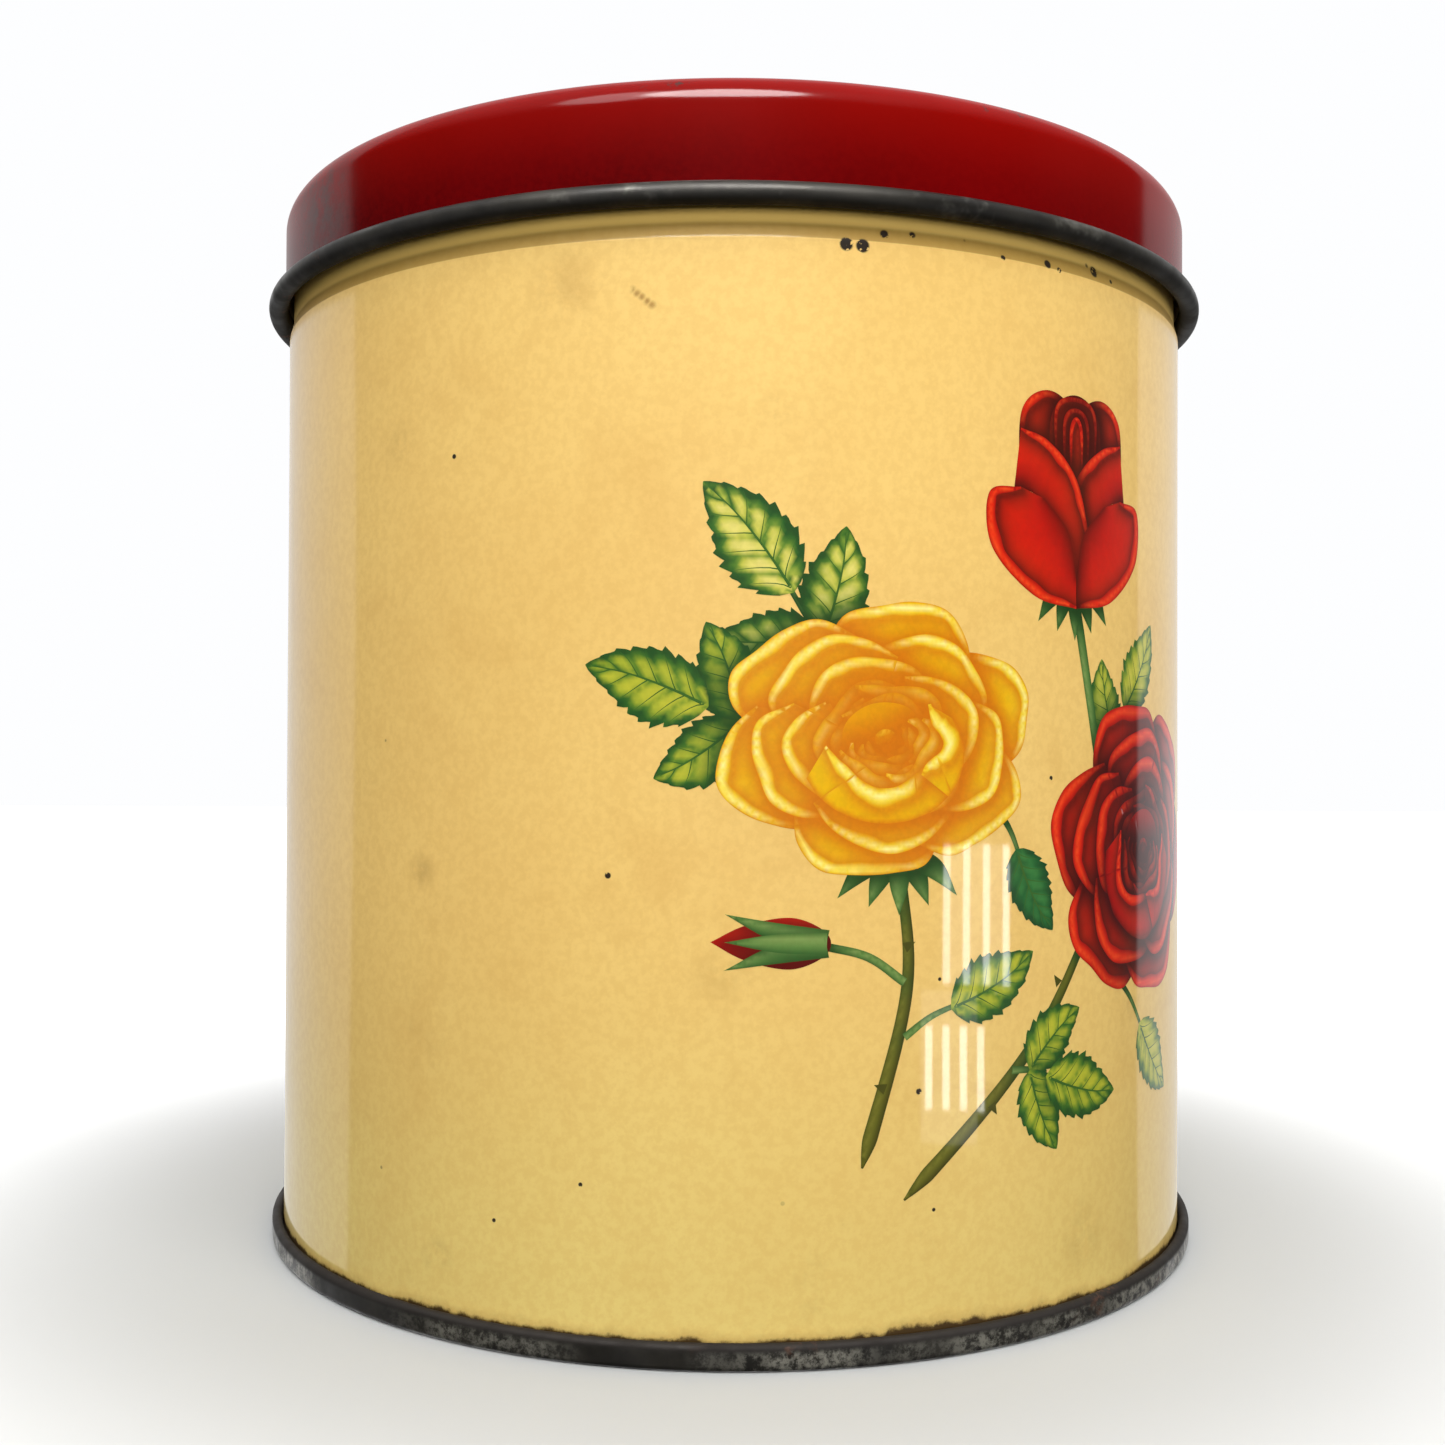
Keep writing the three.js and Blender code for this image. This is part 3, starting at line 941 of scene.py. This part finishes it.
def thorn(place, direction):
    """A small thorn on a stalk."""
    place, direction = np.array(place, float), np.array(direction, float)
    direction /= np.hypot(*direction)
    side = np.array([-direction[1], direction[0]])
    half = side * THORN_SIZE * 0.42
    points = [place - half, place + direction * THORN_SIZE, place + half]

    def paint(at):
        return ramp(STEM, np.full(len(at), 0.15))

    return Shape(points, paint, SHADE["green"])


def sepal(base, tip, width, bend):
    """A pointed green tongue."""
    base, tip = np.array(base, float), np.array(tip, float)
    run = tip - base
    side = np.array([-run[1], run[0]]) / np.hypot(*run)
    a, b = base + side * width / 2, base - side * width / 2
    middle = base + run * 0.5 + side * bend
    left = spline([a, middle + side * width * 0.42, tip], 0.4)
    right = spline([tip, middle - side * width * 0.42, b], 0.4)

    def paint(points):
        x, _ = gap(points, left)
        y, _ = gap(points, right)
        return ramp(GREEN_STEM, x / (x + y + 1e-6))

    return Shape(np.vstack([left, right[1:]]), paint, SHADE["green"], 0.45)


def scaled(points, centre, wide, tall):
    """Points of a unit flower put in place at its size."""
    return [(centre[0] + x * wide, centre[1] + y * tall) for x, y in points]


def open_rose(centre, wide, tall, kind, turn, seed):
    """A rose seen from the front: rings of even petals, each a little different, round a furled heart."""
    circle = [(0.8 * math.cos(a), 0.8 * math.sin(a)) for a in np.linspace(0, 2 * math.pi, 13)]
    depth = spline(scaled(circle, centre, wide, tall))[:-1]
    shapes = [Shape(depth, lambda p: ramp(TONES[kind], np.full(len(p), 0.06)), SHADE[kind])]
    for ring, (count, reach, foot) in enumerate(PETAL_RINGS):
        for number in range(count):
            middle = turn + 2 * math.pi * (number + 0.5 * ring) / count
            half = 1.25 * math.pi / count
            lip, base = [], []
            for k, t in enumerate(np.linspace(-1, 1, 7)):
                swell = 1 - 0.24 * abs(t) ** 2.4 + 0.03 * math.sin(seed + 2.3 * number + 1.9 * k)
                a = middle + half * t
                lip.append((reach * swell * math.cos(a), reach * swell * math.sin(a)))
                if k % 2 == 0:
                    a = middle - half * t * 0.7
                    base.append((foot * math.cos(a), foot * math.sin(a)))
            lip, base = scaled(lip, centre, wide, tall), scaled(base, centre, wide, tall)
            shapes += petal(lip, base, kind, 0.085 * min(wide, tall), seed + number)
    rings = [0.40 * wide * 0.76 ** k for k in range(5)]
    return shapes + heart(centre, rings, tall / wide, kind, turn, seed)


def cup_rose(centre, wide, tall):
    """A half-open red rose from the side: upright petals, two wrapped round them and two falling open."""
    shapes = []

    def add(lip, base, roll, side=1):
        lip, base = ([(x * side, y) for x, y in line] for line in (lip, base))
        lip, base = scaled(lip, centre, wide, tall), scaled(base, centre, wide, tall)
        shapes.extend(petal(lip, base, "red", roll))

    for at in (-0.34, 0.34, 0.0):
        lip = [(at - 0.34, 0.2), (at - 0.3, 0.8), (at, 1.0), (at + 0.3, 0.8), (at + 0.34, 0.2)]
        add(lip, [(0.2, -0.5), (-0.2, -0.5)], 0.8)
    for size in (0.26, 0.16, 0.08):
        lip = [(-size, 0.3), (-size, 0.6 + size), (0.0, 0.72 + size), (size, 0.6 + size), (size, 0.3)]
        add(lip, [(0.1, -0.1), (-0.1, -0.1)], 0.5)
    wrapped = [(0.66, 0.62), (0.34, 0.52), (0.0, 0.2), (-0.2, -0.4)]
    falling = [(0.66, 0.08), (0.98, 0.0), (0.94, -0.5), (0.5, -0.9), (0.0, -1.0)]
    for side in (1, -1):
        add(wrapped, [(0.0, -0.9), (0.5, -0.7), (0.74, 0.0)], 1.0, side)
    for side in (1, -1):
        add(falling, [(0.0, -0.7), (0.1, -0.3), (0.4, 0.0)], 1.2, side)
    return shapes


def bud(tip, base, width):
    """A closed bud: a red drop held by three green tongues, on the line from its tip to its base."""
    tip, base = np.array(tip, float), np.array(base, float)
    run = base - tip
    side = np.array([-run[1], run[0]]) / np.hypot(*run)
    half = [(0.0, 0.0), (0.3, 0.34), (0.7, 0.5), (1.0, 0.2)]
    drop = half + [(x, -y) for x, y in reversed(half)]
    outline = spline([tip + run * x + side * width * y for x, y in drop])[:-1]

    def paint(points):
        return ramp(RED, 0.35 + 0.6 * ((points - tip) @ side) / width)

    shapes = [Shape(outline, paint, SHADE["red"], 0.2)]
    for y in (0.42, -0.42, 0.0):
        foot = base + side * width * y * 0.15
        shapes.append(sepal(foot, tip + run * 0.12 + side * width * y * 1.3, width * 0.42, y))
    return shapes


def sprig(base, tip, size, tones, bend, pairs, seed):
    """Rose foliage: a stalk with a leaflet at its end and pairs of leaflets along it."""
    base, tip = np.array(base, float), np.array(tip, float)
    run = tip - base
    along = run / np.hypot(*run)
    side = np.array([-along[1], along[0]])
    stalk = [base, base + run * 0.5 + side * bend, tip]
    shapes = [stroke(stalk, 0.8, 0.5, GREEN_STEM)]
    for pair in range(pairs):
        foot = base + run * (pair + 0.45) / pairs * 0.9 + side * bend * 0.8
        for sign in (1, -1):
            out = along * 0.62 + side * sign * 0.78
            end = foot + out * size * 0.86
            shapes += leaf(foot, end, size * 0.52, 0.5 * sign, tones, 8, 5, 0.08 * sign, seed + pair + sign)
    return shapes + leaf(tip - along, tip + along * size, size * 0.6, -0.6, tones, 9, 6, 0.08, seed)


def spray():
    """The whole spray, from the back of the picture to the front."""
    shapes = []
    shapes += sprig((12.0, 68.0), (5.4, 76.0), 13.0, BRIGHT_LEAF, 0.6, 1, 5)
    shapes += sprig((4.0, 62.0), (-3.2, 64.4), 12.0, LEAF, 0.4, 1, 8)
    shapes += sprig((44.0, 58.0), (49.0, 65.0), 11.0, PALE_LEAF, -0.5, 1, 2)
    shapes += sprig((28.0, 54.0), (31.0, 49.0), 9.0, DEEP_LEAF, 0.3, 0, 9)
    shapes.append(stroke([(39.0, 76.0), (41.4, 66.0), (44.6, 52.0)], 1.4, 1.2, GREEN_STEM))
    shapes.append(stroke([(17.0, 48.0), (17.6, 36.0), (13.0, 19.0)], 1.1, 1.6, STEM, cut=True))
    shapes.append(stroke([(42.0, 42.0), (33.0, 30.0), (17.4, 15.6)], 1.1, 1.6, STEM, cut=True))
    shapes.append(stroke([(17.4, 37.0), (13.6, 39.6), (9.0, 40.8)], 0.9, 0.8, GREEN_STEM))
    shapes += [
        thorn((17.4, 40.4), (1, 0.5)), thorn((15.4, 26.6), (-1, 0.4)), thorn((27.4, 24.2), (0.6, -1)),
        thorn((36.6, 35.6), (-0.6, 0.8)),
    ]
    shapes += sprig((46.0, 36.0), (53.0, 29.0), 11.0, PALE_LEAF, 0.5, 0, 10)
    shapes += sprig((30.0, 27.4), (35.6, 26.0), 11.0, LEAF, 0.4, 1, 12)
    shapes += sprig((17.4, 31.6), (23.4, 34.6), 10.5, LEAF, 0.4, 0, 14)
    for x, y, spread in ((16.8, 49.6, 6.4), (39.0, 77.4, 5.6)):
        for k in (-1.0, -0.5, 0.5, 1.0, 0.0):
            shapes.append(sepal((x + k, y), (x + spread * k, y - 6.0 + 1.8 * abs(k)), 2.4, 0.6 * k))
    shapes += bud((-2.0, 41.2), (9.4, 41.0), 5.0)
    shapes += cup_rose((39.2, 86.0), 12.4, 11.2)
    shapes += open_rose((15.4, 61.0), 17.2, 13.6, "yellow", 0.35, 1.3)
    shapes += open_rose((53.2, 49.0), 17.6, 16.4, "red", -0.2, 2.1)
    return shapes


def contact_shadow(points, colours, shape, above):
    """Darkens the colours beside the outlines of the shapes lying on top; strongest down and to the right."""
    for other in above:
        if not other.casts or (other.low > shape.high + 2).any() or (other.high < shape.low - 2).any():
            continue
        near = ((points > other.low - 2.4) & (points < other.high + 2.4)).all(1)
        if not near.any():
            continue
        ring = np.vstack([other.outline, other.outline[:1]])
        distance, _ = gap(points[near] + (-0.18, 0.22), ring)
        weight = other.casts * np.exp(-(distance / 0.95) ** 1.1)
        colours[near] = blend(colours[near], shape.dark, weight)
    return colours


def inside(points, outline):
    """Which points lie inside a closed outline."""
    a, b = outline, np.roll(outline, -1, axis=0)
    y = points[:, 1:2]
    crosses = (a[:, 1] > y) != (b[:, 1] > y)
    run = np.where(np.abs(b[:, 1] - a[:, 1]) < 1e-12, 1e-12, b[:, 1] - a[:, 1])
    at = a[:, 0] + (y - a[:, 1]) / run * (b[:, 0] - a[:, 0])
    return ((crosses & (points[:, 0:1] < at)).sum(1) % 2) == 1


def topmost(points, shapes):
    """Number of the uppermost shape over each point, or -1 where the enamel is bare."""
    top = np.full(len(points), -1)
    for number in range(len(shapes) - 1, -1, -1):
        shape = shapes[number]
        near = (top < 0) & ((points >= shape.low) & (points <= shape.high)).all(1)
        rows = np.flatnonzero(near)
        if len(rows):
            top[rows[inside(points[rows], shape.outline)]] = number
    return top


def flat_spray(shapes, step=0.5):
    """The overlapping shapes as one flat sheet of triangles: points, triangles, corner colours."""
    verts, edges = [], []
    for number, shape in enumerate(shapes):
        ring = shape.outline
        ends = np.roll(ring, -1, axis=0)
        seen = (topmost(ring, shapes) <= number) | (topmost(ends, shapes) <= number)
        seen |= topmost((ring + ends) / 2, shapes) <= number
        first = len(verts)
        verts += [tuple(p) for p in ring]
        edges += [(first + k, first + (k + 1) % len(ring)) for k in range(len(ring)) if seen[k]]
    low = np.min([s.low for s in shapes], axis=0)
    high = np.max([s.high for s in shapes], axis=0)
    rows = np.arange(low[1], high[1], step * 0.866)
    columns = np.arange(low[0], high[0], step)
    grid = np.array([(x + (k % 2) * step / 2, y) for k, y in enumerate(rows) for x in columns])
    grid = grid[topmost(grid, shapes) >= 0]
    kept = {v for e in edges for v in e}
    order = {v: k for k, v in enumerate(sorted(kept))}
    points = [Vector(verts[v]) for v in sorted(kept)] + [Vector(p) for p in grid]
    edges = [(order[a], order[b]) for a, b in edges]
    points, _, faces, _, _, _ = delaunay_2d_cdt(points, edges, [], 0, 1e-5, False)
    points = np.array([tuple(p) for p in points])
    faces = np.array([f for f in faces if len(f) == 3])
    top = topmost(points[faces].mean(1), shapes)
    faces, top = faces[top >= 0], top[top >= 0]
    colours = np.zeros((len(faces), 3, 3))
    for number in np.unique(top):
        rows = np.flatnonzero(top == number)
        corners = points[faces[rows]].reshape(-1, 2)
        shade = contact_shadow(corners, shapes[number].paint(corners), shapes[number], shapes[number + 1:])
        colours[rows] = shade.reshape(-1, 3, 3)
    return points, faces, colours


def ink_piece(name, material, turns):
    """The spray laid on the wall, once at each turn round the tin."""
    points, faces, colours = flat_spray(spray())
    ink = np.clip(colours / 255, 0, 1)
    ink = np.where(ink <= 0.04045, ink / 12.92, ((ink + 0.055) / 1.055) ** 2.4)
    used, faces = np.unique(faces, return_inverse=True)
    points, faces = points[used], faces.reshape(-1, 3)
    verts, tris = [], []
    for number, turn in enumerate(turns):
        angle = points[:, 0] / BODY_RADIUS + math.radians(turn)
        radius = BODY_RADIUS + INK_LIFT + wall_wobble(angle, points[:, 1])
        verts.append(np.column_stack([radius * np.sin(angle), -radius * np.cos(angle), points[:, 1]]) * MM)
        tris.append(faces + number * len(points))
    verts, tris = np.vstack(verts), np.vstack(tris)
    mesh = bpy.data.meshes.new(name)
    mesh.from_pydata(verts.tolist(), [], tris.tolist())
    layer = mesh.color_attributes.new("ink", "BYTE_COLOR", "CORNER")
    corner = np.tile(ink.reshape(-1, 3), (len(turns), 1))
    layer.data.foreach_set("color", np.column_stack([corner, np.ones(len(corner))]).ravel())
    mesh.materials.append(material)
    mesh.polygons.foreach_set("use_smooth", [True] * len(mesh.polygons))
    mesh.update()
    obj = bpy.data.objects.new(name, mesh)
    bpy.context.scene.collection.objects.link(obj)
    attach(obj, "can")


# ---- the tin
def lid_slot(side, point):
    """Bare steel on the bead, bright tin inside and red enamel outside."""
    if point[1] < BEAD_HEIGHT + 1.35:
        return 2
    return 0 if side > 0 else 1


def tin():
    enamel, red, steel, bright = cream_enamel(), red_enamel(), dark_steel(), bright_tin()
    ink_piece("rose_print", printed_ink(), (0, 180))
    shell("body_wall", body_line(), [enamel, bright], lambda side, point: 1 if side < 0 else 0,
          wall_wobble, "can", "body_shell")
    shell("lid_cap", lid_line(), [red, bright, steel], lid_slot, None, "lid", "lid_shell")
    shell("base_disc", base_line(), [steel], lambda side, point: 0, None, "can", "base_end")
    for name, material in (("side_seam_solder", solder_metal()), ("seam_compound", dried_compound())):
        for slot in frame["nodes"][name].material_slots:
            slot.material = material


studio()
tin()
